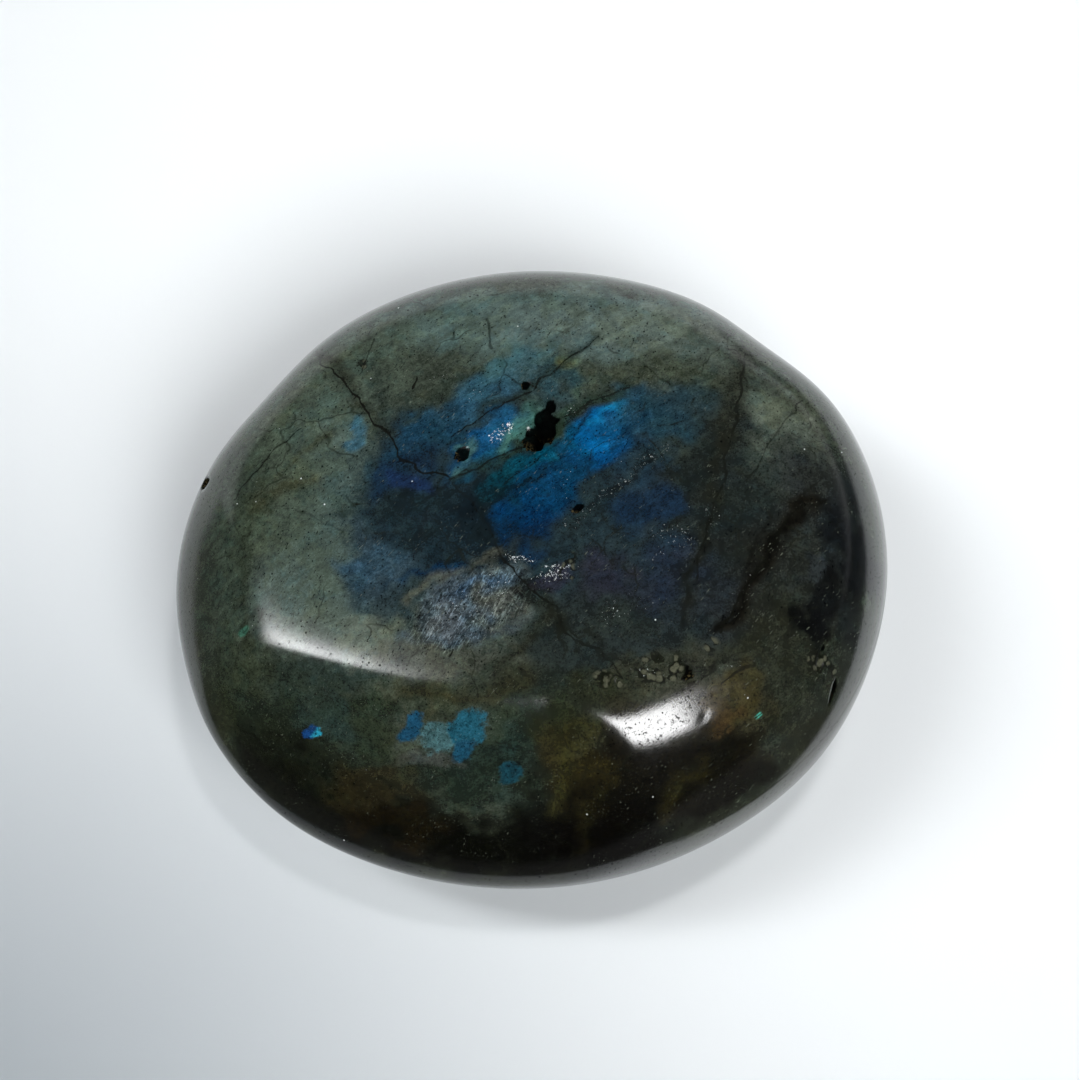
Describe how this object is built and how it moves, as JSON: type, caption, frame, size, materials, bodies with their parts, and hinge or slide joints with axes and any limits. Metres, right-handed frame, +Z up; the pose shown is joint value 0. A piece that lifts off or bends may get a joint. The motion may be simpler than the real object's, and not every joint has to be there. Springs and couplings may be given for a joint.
{
  "type": "labradorite tumbled stone",
  "caption": "Polished tumbled labradorite pebble: a flattened dome with a worn front crest, resting on a small flat foot.",
  "frame": {"origin": "centre of the bounding box at the level of the flat foot", "axes": "+Z up, the thinnest way; +X the longest way; the sharp front crest faces -Y"},
  "size_m": [0.0502, 0.045, 0.0201],
  "materials": {
    "polished_feldspar": "tumble-polished dark grey-green labradorite feldspar with a blue flash under the surface"
  },
  "bodies": {
    "root": {"stone": "polished_feldspar"}
  },
  "joints": []
}
